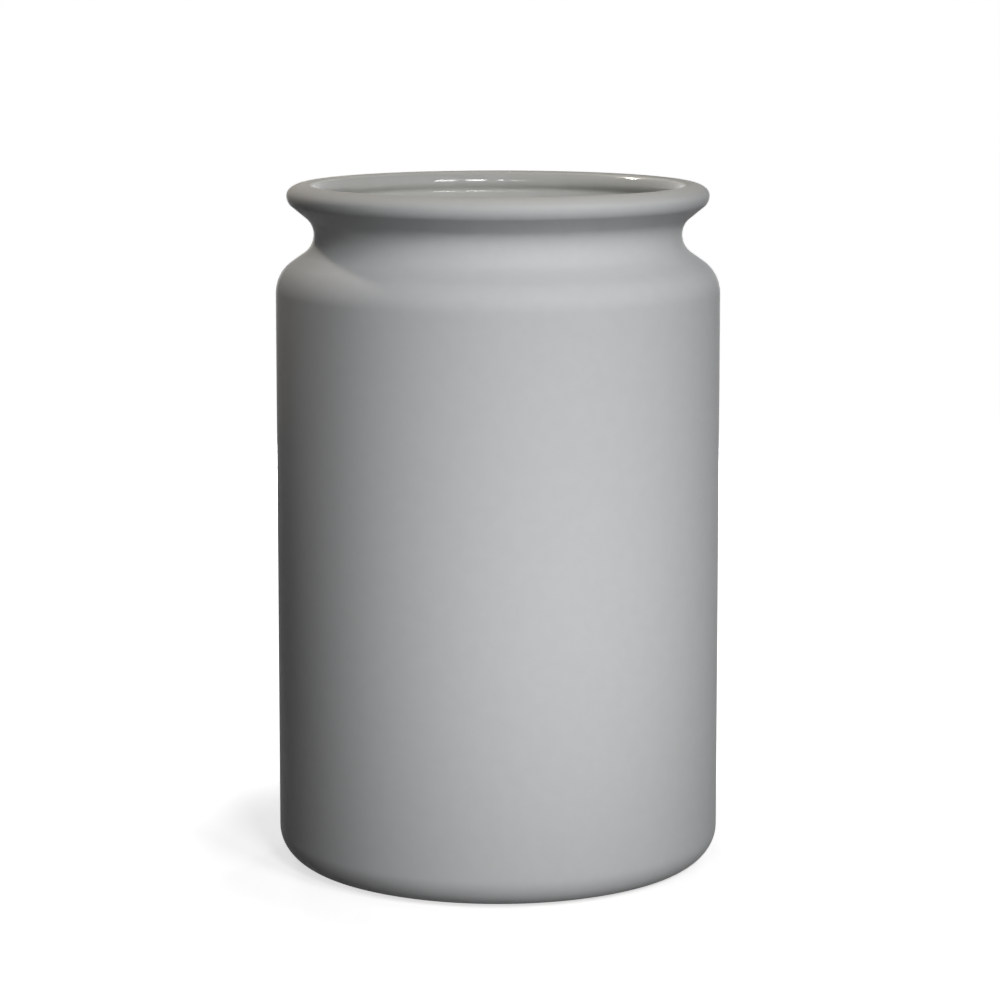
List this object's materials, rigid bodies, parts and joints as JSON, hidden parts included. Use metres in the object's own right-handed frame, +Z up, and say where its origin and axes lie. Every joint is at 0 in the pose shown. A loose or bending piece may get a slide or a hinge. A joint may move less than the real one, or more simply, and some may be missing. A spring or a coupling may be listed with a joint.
{
  "type": "plant pot",
  "caption": "Round glazed stoneware pot with a straight body, waisted neck and flared rolled lip, matt grey outside and glossy inside.",
  "frame": {"origin": "centre of the foot, on the surface that the pot stands on", "axes": "+Z up the pot's axis of revolution, from the foot to the mouth; +X and +Y are any two directions square to it"},
  "size_m": [0.1412, 0.1412, 0.216],
  "materials": {
    "bare_stoneware": "matte",
    "matt_glaze": "matte",
    "gloss_glaze": "gloss"
  },
  "bodies": {
    "root": {"stoneware_body": "bare_stoneware", "outer_matt_glaze": "matt_glaze", "inner_gloss_glaze": "gloss_glaze"}
  },
  "joints": []
}
